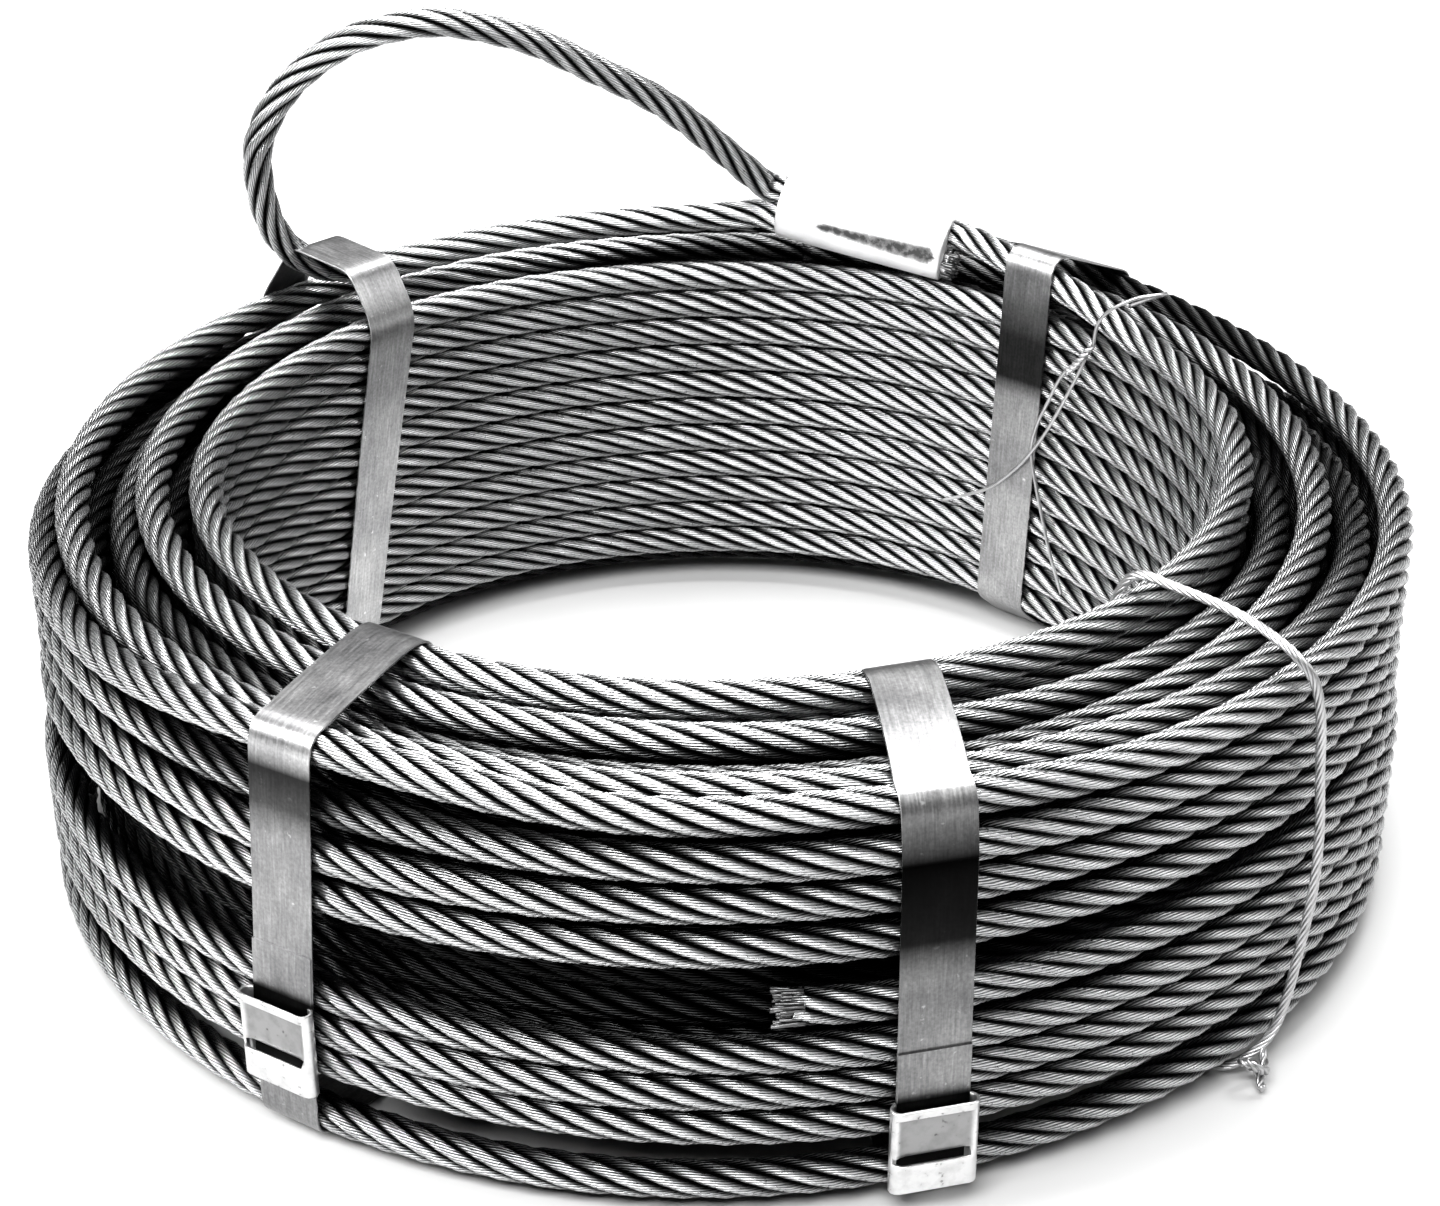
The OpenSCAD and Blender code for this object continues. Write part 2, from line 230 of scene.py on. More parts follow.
def heading(p):
    t = np.empty_like(p)
    t[1:-1] = p[2:] - p[:-2]
    t[0] = p[1] - p[0]
    t[-1] = p[-1] - p[-2]
    return unit(t)


def upright_frames(t):
    """Side vectors that stay close to vertical, for a path that never climbs steeply."""
    s = np.array([0, 0, 1.0]) - t * t[:, 2:3]
    s = unit(s)
    return s, np.cross(t, s)


def carried_frames(t):
    """Side vectors carried along a path without twist."""
    s = np.empty_like(t)
    s[0] = unit(np.cross(t[0], [0, 0, 1.0]))
    for i in range(1, len(t)):
        v = s[i - 1] - t[i] * (s[i - 1] @ t[i])
        s[i] = v / np.linalg.norm(v)
    return s, np.cross(t, s)


# ---------------------------------------------------------------- meshes
def new_object(name, verts, quads, uvs, mat, smooth=True):
    """A mesh object from arrays: verts in millimetres, quads as an (n, 4) array, one uv for each corner."""
    me = bpy.data.meshes.new(name)
    quads = np.asarray(quads, np.int32)
    me.vertices.add(len(verts))
    me.vertices.foreach_set("co", (np.asarray(verts) * MM).astype(np.float32).ravel())
    me.loops.add(quads.size)
    me.loops.foreach_set("vertex_index", quads.ravel())
    me.polygons.add(len(quads))
    me.polygons.foreach_set("loop_start", np.arange(0, quads.size, 4, dtype=np.int32))
    me.update(calc_edges=True)
    if uvs is not None:
        layer = me.uv_layers.new(name="lay")
        layer.data.foreach_set("uv", np.asarray(uvs, np.float32).ravel())
    me.validate()
    if smooth:
        me.polygons.foreach_set("use_smooth", np.ones(len(me.polygons), bool))
    me.update()
    ob = bpy.data.objects.new(name, me)
    bpy.context.scene.collection.objects.link(ob)
    me.materials.append(mat)
    return ob


def sweep(path, side, cross_side, radius, count, start_v=0.0, v_rate=1.0):
    """Tube of quads round a path. Returns vertices, quads and corner uvs (turns round it, run along it)."""
    a = np.arange(count) * 2 * np.pi / count
    ring = (path[:, None, :] + radius * (np.cos(a)[None, :, None] * side[:, None, :]
            + np.sin(a)[None, :, None] * cross_side[:, None, :]))
    verts = ring.reshape(-1, 3)
    rows = len(path) - 1
    i = np.arange(rows)[:, None]
    k = np.arange(count)[None, :]
    k2 = (k + 1) % count
    quads = np.stack([i * count + k, i * count + k2, (i + 1) * count + k2, (i + 1) * count + k], -1)
    quads = quads.reshape(-1, 4)
    v = start_v + run_of(path) * v_rate
    v_lo = np.broadcast_to(v[:-1, None], (rows, count))
    v_hi = np.broadcast_to(v[1:, None], (rows, count))
    u0 = np.broadcast_to(k / count, (rows, count))
    u1 = u0 + 1 / count
    uvs = np.stack([np.stack([u0, v_lo], -1), np.stack([u1, v_lo], -1),
                    np.stack([u1, v_hi], -1), np.stack([u0, v_hi], -1)], 2).reshape(-1, 2)
    return verts, quads, uvs


def rope_frames(path, carried):
    t = heading(path)
    return carried_frames(t) if carried else upright_frames(t)


def strand_path(path, s, v, index, phase):
    """Centreline of one strand, with its side vectors; s and v are the side vectors of the rope."""
    run = run_of(path)
    a = phase + 2 * np.pi * (run / LAY + index / STRANDS)
    out = np.cos(a)[:, None] * s + np.sin(a)[:, None] * v
    q = path + LAY_R * out
    tq = heading(q)
    side = unit(out - tq * (out * tq).sum(1, keepdims=True))
    return q, side, np.cross(tq, side)


def end_loops(ring, count, base=0):
    """Corners of the two end caps of a tube of count rings."""
    return [base + np.arange(ring)[::-1], base + (count - 1) * ring + np.arange(ring)]


def add_caps(ob, loops):
    bm = bmesh.new()
    bm.from_mesh(ob.data)
    bm.verts.ensure_lookup_table()
    for loop in loops:
        bm.faces.new([bm.verts[int(i)] for i in loop])
    bm.to_mesh(ob.data)
    bm.free()


def rope_pieces(name, path, phase, replaces, carried=False, first_v=0.0):
    """Six strands and a core along a rope's centreline; returns the phase and the run at the far end."""
    s, v = rope_frames(path, carried)
    pieces = []
    for i in range(STRANDS):
        q, side, cross = strand_path(path, s, v, i, phase)
        verts, quads, uvs = sweep(q, side, cross, STRAND_R, STRAND_SIDES, start_v=first_v, v_rate=WIRE_RATE)
        ob = new_object(f"{name}_strand_{i + 1}", verts, quads, uvs, ROPE)
        add_caps(ob, end_loops(STRAND_SIDES, len(q)))
        pieces.append(ob)
    core = resample(path, 9.0)
    verts, quads, uvs = sweep(core, *rope_frames(core, carried), CORE_R, CORE_SIDES)
    ob = new_object(f"{name}_core", verts, quads, uvs, CORE)
    add_caps(ob, end_loops(CORE_SIDES, len(core)))
    pieces.append(ob)
    for ob in pieces:
        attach(ob, "root")
    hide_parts(*replaces)
    length = run_of(path)[-1]
    return phase + 2 * np.pi * length / LAY, first_v + length * WIRE_RATE


def tubes_object(name, paths, radius, sides, mat):
    """Several round wires as one mesh."""
    verts, quads, uvs, loops, base = [], [], [], [], 0
    for p in paths:
        t = heading(p)
        s, v = carried_frames(t)
        vs, qs, us = sweep(p, s, v, radius, sides)
        verts.append(vs)
        quads.append(qs + base)
        uvs.append(us)
        loops += end_loops(sides, len(p), base)
        base += len(vs)
    ob = new_object(name, np.concatenate(verts), np.concatenate(quads), np.concatenate(uvs), mat)
    add_caps(ob, loops)
    return ob


def twisted(path, count, lay_radius, lay):
    """Centrelines of wires laid round a path."""
    t = heading(path)
    s, v = carried_frames(t)
    run = run_of(path)
    out = []
    for k in range(count):
        a = 2 * np.pi * (run / lay + k / count)
        out.append(path + lay_radius * (np.cos(a)[:, None] * s + np.sin(a)[:, None] * v))
    return out


def wired_pieces(name, path, phase, replaces):
    """A rope whose every outer wire is real geometry: six strands of twelve wires over a core."""
    s, v = rope_frames(path, True)
    pieces = []
    for i in range(STRANDS):
        q, side, cross = strand_path(path, s, v, i, phase)
        run, reach = run_of(q), STRAND_R - WIRE_R
        wires = []
        for k in range(WIRES):
            a = 2 * np.pi * (k / WIRES - run * WIRE_RATE)
            wires.append(q + reach * (np.cos(a)[:, None] * side + np.sin(a)[:, None] * cross))
        pieces.append(tubes_object(f"{name}_strand_{i + 1}", wires, WIRE_R, WIRE_SIDES, WIRE))
        pieces.append(tubes_object(f"{name}_filler_{i + 1}", [q[::2]], reach, WIRE_SIDES, CORE))
    pieces.append(tubes_object(f"{name}_core", [path[::2]], CORE_R, CORE_SIDES, CORE))
    for ob in pieces:
        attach(ob, "root")
    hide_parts(*replaces)


def splayed_end(name, at, outward, spread, phase, shortest, longest):
    """Cut wire ends that stand out of a rope's end, fanned a little and of uneven length."""
    t = unit(outward)
    s = unit(np.cross(t, [0, 0, 1.0]))
    v = np.cross(t, s)
    wires = []
    inside, round_it = 3, 8
    for i in range(STRANDS):
        b = phase + 2 * np.pi * i / STRANDS
        centre = at + LAY_R * (np.cos(b) * s + np.sin(b) * v)
        for k in range(round_it + 1):
            c = 2 * np.pi * k / round_it + i
            reach = 0.0 if k == round_it else STRAND_R - WIRE_R
            foot = centre + reach * (np.cos(c) * s + np.sin(c) * v)
            length = rng.uniform(shortest, longest)
            lean = unit(foot - at) * rng.uniform(0.2, 1.0) * spread + s * rng.uniform(-0.1, 0.1)
            u = np.linspace(0, 1, 5)[:, None]
            wires.append(foot - t * inside + t * (length + inside) * u + lean * length * u ** 2)
    ob = tubes_object(name, wires, WIRE_R + 0.03, WIRE_SIDES, SHADED_CUT_WIRE)
    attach(ob, "root")


# ---------------------------------------------------------------- materials
def material(name):
    m = bpy.data.materials.new(name)
    m.use_nodes = True
    nt = m.node_tree
    nt.nodes.clear()
    out = nt.nodes.new("ShaderNodeOutputMaterial")
    bsdf = nt.nodes.new("ShaderNodeBsdfPrincipled")
    nt.links.new(bsdf.outputs[0], out.inputs[0])
    return m, nt, bsdf


def math_node(nt, op, a, b=None, c=None, clamp=False):
    n = nt.nodes.new("ShaderNodeMath")
    n.operation = op
    n.use_clamp = clamp
    for k, x in enumerate((a, b, c)):
        if x is None:
            continue
        if isinstance(x, (int, float)):
            n.inputs[k].default_value = x
        else:
            nt.links.new(x, n.inputs[k])
    return n.outputs[0]


def ramp(nt, fac, stops):
    n = nt.nodes.new("ShaderNodeValToRGB")
    el = n.color_ramp.elements
    while len(el) < len(stops):
        el.new(0.5)
    for e, (pos, col) in zip(el, stops):
        e.position = pos
        e.color = (*col, 1) if len(col) == 3 else col
    nt.links.new(fac, n.inputs[0])
    return n.outputs[0]


def noise(nt, vector, scale, detail, rough=0.55):
    n = nt.nodes.new("ShaderNodeTexNoise")
    n.inputs["Scale"].default_value = scale
    n.inputs["Detail"].default_value = detail
    n.inputs["Roughness"].default_value = rough
    nt.links.new(vector, n.inputs["Vector"])
    return n.outputs["Fac"]


def position(nt):
    return nt.nodes.new("ShaderNodeNewGeometry").outputs["Position"]


def split(nt, vector):
    n = nt.nodes.new("ShaderNodeSeparateXYZ")
    nt.links.new(vector, n.inputs[0])
    return n.outputs


def lay_map(nt):
    """The uv map that new_object writes."""
    n = nt.nodes.new("ShaderNodeUVMap")
    n.uv_map = "lay"
    return n.outputs[0]


def grey(value):
    return (value, value, value)


def set_bump(nt, bsdf, height, strength, distance):
    n = nt.nodes.new("ShaderNodeBump")
    n.inputs["Strength"].default_value = strength
    n.inputs["Distance"].default_value = distance
    nt.links.new(height, n.inputs["Height"])
    nt.links.new(n.outputs[0], bsdf.inputs["Normal"])


def mix_rgb(nt, fac, a, b, kind="MULTIPLY"):
    n = nt.nodes.new("ShaderNodeMix")
    n.data_type = "RGBA"
    n.blend_type = kind
    for key, x in ((0, fac), (6, a), (7, b)):
        if isinstance(x, (int, float)):
            n.inputs[key].default_value = x
        elif isinstance(x, tuple):
            n.inputs[key].default_value = (*x, 1)
        else:
            nt.links.new(x, n.inputs[key])
    return n.outputs[2]


def map_range(nt, value, low, high, to_low=0.0, to_high=1.0):
    n = nt.nodes.new("ShaderNodeMapRange")
    n.interpolation_type = "SMOOTHSTEP"
    for key, x in enumerate((value, low, high, to_low, to_high)):
        if isinstance(x, (int, float)):
            n.inputs[key].default_value = x
        else:
            nt.links.new(x, n.inputs[key])
    return n.outputs[0]


# Painted shade between the wraps: where rope starts to be dark and where it is black, in metres: two radii
# and a height
DARK_FROM_BORE, DARK_FROM_FACE, DARK_FROM_TOP = (0.1492, 0.1522), (0.2008, 0.1970), (0.117, 0.109)


def painted_wrap_shade(nt, pos):
    """Painted shade: 0 on the faces of the coil, 1 between its wraps, where the wraps shade each other."""
    x, y, z = split(nt, pos)
    squares = math_node(nt, "ADD", math_node(nt, "MULTIPLY", x, x), math_node(nt, "MULTIPLY", y, y))
    r = math_node(nt, "SQRT", squares)
    # the lower wraps bulge, and the top of the coil is higher at the rear right
    r_out = math_node(nt, "SUBTRACT", r, map_range(nt, z, 0.050, 0.062, BULGE * MM, 0.0))
    to_right = map_range(nt, x, -0.10, 0.0, 0.0, 0.012)
    below = math_node(nt, "SUBTRACT", z, math_node(nt, "MULTIPLY", map_range(nt, y, 0.0, 0.15), to_right))
    from_bore, from_face = map_range(nt, r, *DARK_FROM_BORE), map_range(nt, r_out, *DARK_FROM_FACE)
    depth = math_node(nt, "MULTIPLY", from_bore, from_face)
    return math_node(nt, "MULTIPLY", depth, map_range(nt, below, *DARK_FROM_TOP))


def wire_rope_material(name, crown, painted_groove_shade, rough, wire_bump):
    """Bright drawn wire: twelve wires round each strand, with painted shade in the grooves between the
    wires, on the strand sides toward the rope's core and between the wraps of the coil.
    """
    m, nt, bsdf = material(name)
    u, v, _ = split(nt, lay_map(nt))
    w = math_node(nt, "MULTIPLY", math_node(nt, "ADD", u, v), float(WIRES))
    x = math_node(nt, "MULTIPLY_ADD", math_node(nt, "FRACT", w), 2.0, -1.0)
    x_squared = math_node(nt, "MULTIPLY", x, x)
    crown_h = math_node(nt, "SQRT", math_node(nt, "SUBTRACT", 1.0, x_squared, clamp=True))
    wire_id = math_node(nt, "FLOOR", math_node(nt, "MODULO", w, float(WIRES)))
    # brightness differs a little from wire to wire, and drifts along the rope
    pos = position(nt)
    drift = noise(nt, pos, 38.0, 4.0)
    fine = noise(nt, pos, 900.0, 2.0)
    per_wire = nt.nodes.new("ShaderNodeTexWhiteNoise")
    per_wire.noise_dimensions = "1D"
    nt.links.new(wire_id, per_wire.inputs["W"])
    # painted shade: each wire darkens from its crown into the groove beside it
    flank = tuple(0.38 * c for c in crown)
    base = ramp(nt, crown_h, [(0.0, painted_groove_shade), (0.55, flank), (0.95, crown)])
    tone = math_node(nt, "MULTIPLY_ADD", per_wire.outputs[0], 0.22, 0.80)
    tone = math_node(nt, "MULTIPLY", tone, math_node(nt, "MULTIPLY_ADD", drift, 0.5, 0.72))
    tone_grey = nt.nodes.new("ShaderNodeCombineColor")
    for k in range(3):
        nt.links.new(tone, tone_grey.inputs[k])
    base = mix_rgb(nt, 1.0, base, tone_grey.outputs[0])
    # painted shade: the sides of a strand that face the next strand are dark
    side = math_node(nt, "COSINE", math_node(nt, "MULTIPLY", u, 2 * math.pi))
    facing = math_node(nt, "MULTIPLY_ADD", side, 0.5, 0.5)
    shade = ramp(nt, facing, [(0.55, grey(0.01)), (0.74, grey(0.24)), (0.92, grey(1))])
    base = mix_rgb(nt, 1.0, base, shade)
    # painted shade: the rope darkens between the wraps of the coil
    darkening = ramp(nt, painted_wrap_shade(nt, pos), [(0.0, grey(1)), (0.5, grey(0.30)), (1.0, grey(0.04))])
    base = mix_rgb(nt, 1.0, base, darkening)
    nt.links.new(base, bsdf.inputs["Base Color"])
    bsdf.inputs["Metallic"].default_value = 1.0
    r = math_node(nt, "MULTIPLY_ADD", fine, 0.22, rough - 0.10)
    nt.links.new(r, bsdf.inputs["Roughness"])
    set_bump(nt, bsdf, crown_h, 0.85, wire_bump)
    return m


def plain_wire_material(name, tone, rough, dark=0.5):
    """Dull wire with stains; dark is how much of the tone is left in a stain."""
    m, nt, bsdf = material(name)
    pos = position(nt)
    n = noise(nt, pos, 220.0, 4.0)
    big = noise(nt, pos, 30.0, 2.0)
    col = ramp(nt, n, [(0.3, grey(tone * dark)), (0.62, (tone, tone, tone * 1.01))])
    col = mix_rgb(nt, 0.5, col, ramp(nt, big, [(0.35, grey(0.6)), (0.65, grey(1))]))
    nt.links.new(col, bsdf.inputs["Base Color"])
    bsdf.inputs["Metallic"].default_value = 1.0
    nt.links.new(math_node(nt, "MULTIPLY_ADD", n, 0.25, rough - 0.12), bsdf.inputs["Roughness"])
    set_bump(nt, bsdf, n, 0.25, 0.0001)
    return m


def strap_material(name, tone, rough, painted_light):
    """Rolled steel strip: lengthwise scratches, clouds, a few nicks, and painted light by height in mm:
    painted highlights, painted reflections and painted shadow.
    """
    m, nt, bsdf = material(name)
    mapping = nt.nodes.new("ShaderNodeMapping")
    mapping.inputs["Scale"].default_value = (4.0, 0.12, 1.0)
    nt.links.new(lay_map(nt), mapping.inputs[0])
    lines = noise(nt, mapping.outputs[0], 6.0, 6.0, 0.7)
    pos = position(nt)
    cloud = noise(nt, pos, 45.0, 4.0)
    nick = noise(nt, pos, 420.0, 2.0)
    grain = noise(nt, pos, 1100.0, 2.0)
    scratches = [(0.32, 0.68), (0.56, 1.0), (0.68, 1.25), (0.76, 1.8)]
    col = ramp(nt, lines, [(at, grey(tone * share)) for at, share in scratches])
    col = mix_rgb(nt, 1.0, col, ramp(nt, grain, [(0.30, grey(0.72)), (0.68, grey(1))]))
    col = mix_rgb(nt, 1.0, col, ramp(nt, cloud, [(0.32, (0.62, 0.62, 0.63)), (0.62, grey(1))]))
    col = mix_rgb(nt, 1.0, col, ramp(nt, nick, [(0.70, grey(0)), (0.78, grey(0.3))]), "ADD")
    # painted highlight, painted reflection and painted shadow on the strap, by height
    up = math_node(nt, "MULTIPLY", split(nt, pos)[2], 1 / (STRAP_LIGHT_TOP * MM))
    col = mix_rgb(nt, 1.0, col, ramp(nt, up, [(z / STRAP_LIGHT_TOP, grey(t)) for z, t in painted_light]))
    nt.links.new(col, bsdf.inputs["Base Color"])
    bsdf.inputs["Metallic"].default_value = 1.0
    r = math_node(nt, "MULTIPLY_ADD", lines, 0.22, rough - 0.1)
    r = math_node(nt, "ADD", r, math_node(nt, "MULTIPLY", cloud, 0.12))
    nt.links.new(r, bsdf.inputs["Roughness"])
    set_bump(nt, bsdf, lines, 0.12, 0.00008)
    return m


def seal_material():
    """Bright sheet, a little dented; its pressed-in panel, marked in the lay map, is darker: painted shade
    in the recess.
    """
    m, nt, bsdf = material("seal_plate")
    panel = split(nt, lay_map(nt))[0]
    pos = position(nt)
    cloud = noise(nt, pos, 260.0, 4.0)
    spots = noise(nt, pos, 520.0, 2.0)
    # painted shade on the recessed upper panel
    col = ramp(nt, panel, [(0.2, grey(0.70)), (0.8, grey(0.27))])
    col = mix_rgb(nt, 1.0, col, ramp(nt, cloud, [(0.34, grey(0.80)), (0.56, grey(1))]))
    col = mix_rgb(nt, 1.0, col, ramp(nt, spots, [(0.26, grey(0.45)), (0.34, grey(1))]))
    nt.links.new(col, bsdf.inputs["Base Color"])
    bsdf.inputs["Metallic"].default_value = 1.0
    nt.links.new(math_node(nt, "MULTIPLY_ADD", cloud, 0.25, 0.20), bsdf.inputs["Roughness"])
    set_bump(nt, bsdf, cloud, 0.2, 0.0002)
    return m


def ferrule_material():
    """Pressed aluminium; the press mark is marked in the lay map."""
    m, nt, bsdf = material("pressed_aluminium")
    pos = position(nt)
    n = noise(nt, pos, 60.0, 5.0)
    fine = noise(nt, pos, 700.0, 3.0)
    col = ramp(nt, n, [(0.3, (0.74, 0.74, 0.75)), (0.6, grey(0.86))])
    # oil and dirt left in the press mark, broken up by pits
    pits = noise(nt, pos, 420.0, 5.0)
    mark = split(nt, lay_map(nt))[0]
    stain = math_node(nt, "MULTIPLY", math_node(nt, "MULTIPLY_ADD", pits, 1.6, -0.05), mark)
    darkening = ramp(nt, stain, [(0.20, grey(1)), (0.42, grey(0.40)), (0.80, grey(0.08))])
    col = mix_rgb(nt, 1.0, col, darkening)
    nt.links.new(col, bsdf.inputs["Base Color"])
    bsdf.inputs["Metallic"].default_value = 0.6
    nt.links.new(math_node(nt, "MULTIPLY_ADD", fine, 0.2, 0.33), bsdf.inputs["Roughness"])
    set_bump(nt, bsdf, fine, 0.3, 0.0001)
    return m


ROPE = wire_rope_material("bright_wire", (0.66, 0.665, 0.67), grey(0.006), 0.30, 0.0006)
CORE = plain_wire_material("oily_core", 0.02, 0.6)
WIRE = plain_wire_material("drawn_wire", 0.45, 0.30)
# painted shade: the cut wire ends are a darker copy of the drawn wire
SHADED_CUT_WIRE = plain_wire_material("cut_wire_painted_shade", 0.20, 0.4)
TIE = plain_wire_material("galvanised_tie", 0.55, 0.40, 0.8)
# Painted light on each strap against height, as pairs of millimetres and brightness: painted highlights and
# painted reflections; painted shadow black behind its seal
STRAP_LIGHT_TOP = 140
STRAP_PAINTED_LIGHT = [[(0, 0.9), (20, 0.9), (21, 0.03), (46.5, 0.03), (48, 0.8), (92, 0.8), (101, 0.15), (111, 0.04),
          (117, 1.4), (124, 0.65)],
         [(0, 0.9), (8, 0.9), (9, 0.03), (34, 0.03), (35.5, 0.66), (68, 0.5), (79, 0.02), (101, 0.0),
          (110, 0.4), (116, 1.0), (121, 0.9), (123, 0.42)],
         [(0, 1.5), (80, 1.5), (112, 1.1), (124, 0.3), (131, 1.0)],
         [(0, 1.1), (92, 1.1), (98, 0.08), (113, 0.10), (124, 0.5), (132, 1.1)]]
STRAPS = [strap_material(f"rolled_strap_{i + 1}", 0.42, 0.30, painted_light) for i, painted_light in enumerate(STRAP_PAINTED_LIGHT)]
SEAL = seal_material()
ALU = ferrule_material()


# ---------------------------------------------------------------- the rope: coil, tail, dead end and eye
def ferrule_point(up, along_axis):
    """A point in the tilted frame of the ferrule: across the lanes and along its axis."""
    tilt = rad(FERRULE_TILT)
    y, z = up * math.sin(rad(LANE_LEAN)), up * math.cos(rad(LANE_LEAN))
    qx = along_axis * math.cos(tilt) + z * math.sin(tilt)
    qz = z * math.cos(tilt) - along_axis * math.sin(tilt)
    a = rad(FERRULE_AZ - 180)
    return polar(FERRULE_R, FERRULE_AZ, FERRULE_Z) + np.array(
        [qx * math.cos(a) - y * math.sin(a), qx * math.sin(a) + y * math.cos(a), qz])


FERRULE_HALF = FERRULE_LEN / 2


def eye_path():
    """The eye, out of the upper lane, round the loop and back into the lower lane."""
    out, back = LANE, -LANE
    points = [
        ferrule_point(out, -FERRULE_HALF + 0.6), ferrule_point(out, -FERRULE_HALF - 4),
        ferrule_point(out, -FERRULE_HALF - 9),
        [-17, 145, 180], [-44, 139, 196], [-63, 135, 206], [-83, 131, 212], [-96, 128, 213.5],
        [-109, 125, 212], [-122, 123, 208], [-136, 120, 199], [-145, 118, 189], [-151, 117, 177],
        [-152, 116, 167], [-151, 116.5, 156], [-148, 117, 146], [-141, 118.5, 137], [-132, 120.5, 132.5],
        [-122, 124, 131], [-106, 131, 131.5],
        [-82, 143, 133.5], [-56, 152, 135], [-28, 157, 136.5], [0, 158.5, 137.5],
        ferrule_point(back, -FERRULE_HALF - 8), ferrule_point(back, -FERRULE_HALF - 3),
        ferrule_point(back, -FERRULE_HALF + 0.6)]
    return resample(resample(spline(points, 12), 4.0), 3.0)


def led_in(p):
    """Puts the live leg, out of the ferrule's upper lane, before the first layer's path."""
    leg = spline([ferrule_point(LANE, FERRULE_HALF - 1), ferrule_point(LANE, FERRULE_HALF + 7),
                  polar(151.5, 137, 134.5), polar(151, 129, 131.5), p[0], p[2]], 8)
    return np.concatenate([resample(leg, 5.0), p[3:]])


def wind_coil():
    """The five layers, each laid on from the last; returns the phase and the run at the end."""
    phase, run = 0.4, 0.0
    for n in range(1, 6):
        p = layer_path(n, turn_of(LEAD_AZ) if n == 1 else 0.0, turn_of(LIFT_AZ) if n == 5 else 180.0)
        replaced = [f"rope_layer_{n}"]
        if n < 5:
            p = settle(p, n)
        if n == 1:
            p = led_in(p)
            replaced += ["rope_lead", "live_leg"]
        phase, run = rope_pieces(f"layer_{n}", p, phase, replaced, first_v=run % 1.0)
    return phase, run


# The tail's climb from the lowest wrap to the slot: azimuth, outward from the slot's radius, height
TAIL_CLIMB = [(-138.1, 0, 8.5), (-145, 2, 8.5), (-152, 7, 10), (-160, 10.6, 16), (-170, 10.8, 27),
              (-180, 10.8, 40), (-190, 10.6, 53), (-198, 9.4, 62.5), (-206, 3.8, 69.5), (-214, -1, 70)]
SLOT_Z, SLOT_RISE = 59.0, 10.4


def tail_path():
    """The climb, then the slot round the right side to the cut end."""
    slot = layer_r(5)
    points = [polar(loose_r(SLOT_ROW) + out, az, z) for az, out, z in TAIL_CLIMB]
    for az in range(138, 6, -9):
        points.append(polar(slot + 1, az, SLOT_Z + SLOT_RISE * ((az - TAIL_AZ) / 133) ** 1.2))
    points.append(polar(slot, TAIL_AZ, SLOT_Z))
    return resample(spline(points, 6), 5.0)


def cut_tail(phase, run):
    p = tail_path()
    rope_pieces("tail", p, phase, ["rope_tail"], first_v=run % 1.0)
    splayed_end("tail_cut_end", p[-1], p[-1] - p[-3], 0.12, phase, 1.5, 5.5)


def dead_end():
    """The short end that stands out of the ferrule's lower lane."""
    p = np.linspace(ferrule_point(-LANE, FERRULE_HALF - 1), ferrule_point(-LANE, FERRULE_HALF + 2.5), 4)
    wired_pieces("stub", p, 2.0, ["dead_end"])
    splayed_end("stub_cut_end", p[-1], p[-1] - p[-2], 0.2, 2.0, 1.0, 3.0)


cut_tail(*wind_coil())
dead_end()
rope_pieces("eye", eye_path(), 0.2, ["eye_core"] + [f"eye_strand_{i}" for i in range(1, 7)], carried=True)

# ---------------------------------------------------------------- steel straps
BAND_AZ = [-33.5, 14.7, -131.5, 138.0]
SEAL_Z = [33.0, 21.0, 34.0, 30.0]
SEAL_H, SEAL_W, SEAL_DEEP, SEAL_SHEET = 25.0, 23.0, 4.8, 0.8
PANEL_IN, LIP_OUT, FLARE_OUT = 1.3, 0.7, 0.5
END_BELOW, END_ABOVE = 4.0, 16.0      # how far a strap's free end passes its seal
STRIP_EDGE = 0.14
STRIP_RATE = 0.12                     # lay map units for each point along a strap
# Degrees by which each strap leans: bore side at the bottom and top, outer face at the bottom and top
LEAN = [(0, 0, 0.6, 2.2), (2.4, 2.4, 0, 0), (10.5, -1.0, 0, 0), (-0.3, -2.3, 0, 0)]
LEAN_R, LEAN_REACH, LEAN_TOP = 195.0, 40.0, 125.0
# Further places (radius, height) that a strap is drawn over: by the foot of the eye, and over the lead
BAND_EXTRA = [[], [], [(160, 133), (181, 135.2)], [(151.6, 136.8)]]


def cross2(o, a, b):
    return (a[0] - o[0]) * (b[1] - o[1]) - (a[1] - o[1]) * (b[0] - o[0])


def hull(points):
    """Convex hull, counter-clockwise."""
    pts = sorted(set(map(tuple, np.round(points, 4))))
    chains = []
    for order in (pts, pts[::-1]):
        chain = []
        for p in order:
            while len(chain) > 1 and cross2(chain[-2], chain[-1], p) <= 0:
                chain.pop()
            chain.append(p)
        chains.append(chain[:-1])
    return np.array(chains[0] + chains[1])


def even_loop(p, step):
    """The closed outline p with points at an even step."""
    closed = np.vstack([p, p[:1]])
    d = run_of(closed)
    n = int(round(d[-1] / step))
    t = np.arange(n) * d[-1] / n
    return np.stack([np.interp(t, d, closed[:, k]) for k in (0, 1)], 1)


def strap_loop(i):
    """Inner face of a strap in its radial plane: drawn tight round the ropes, with soft corners."""
    az = BAND_AZ[i]
    held = section(az) + [(layer_r(2), BOTTOM_Z), (layer_r(3), BOTTOM_Z)] + BAND_EXTRA[i]
    a = np.radians(np.arange(0, 360, 6))
    ring = np.stack([np.cos(a), np.sin(a)], 1) * (ROPE_R + BAND_GAP)
    p = even_loop(hull(np.concatenate([ring + c for c in held])), 1.2)
    for _ in range(5):
        p = (np.roll(p, 1, 0) + 2 * p + np.roll(p, -1, 0)) / 4
    p[:, 1] = np.maximum(p[:, 1], BAND_T)
    return p


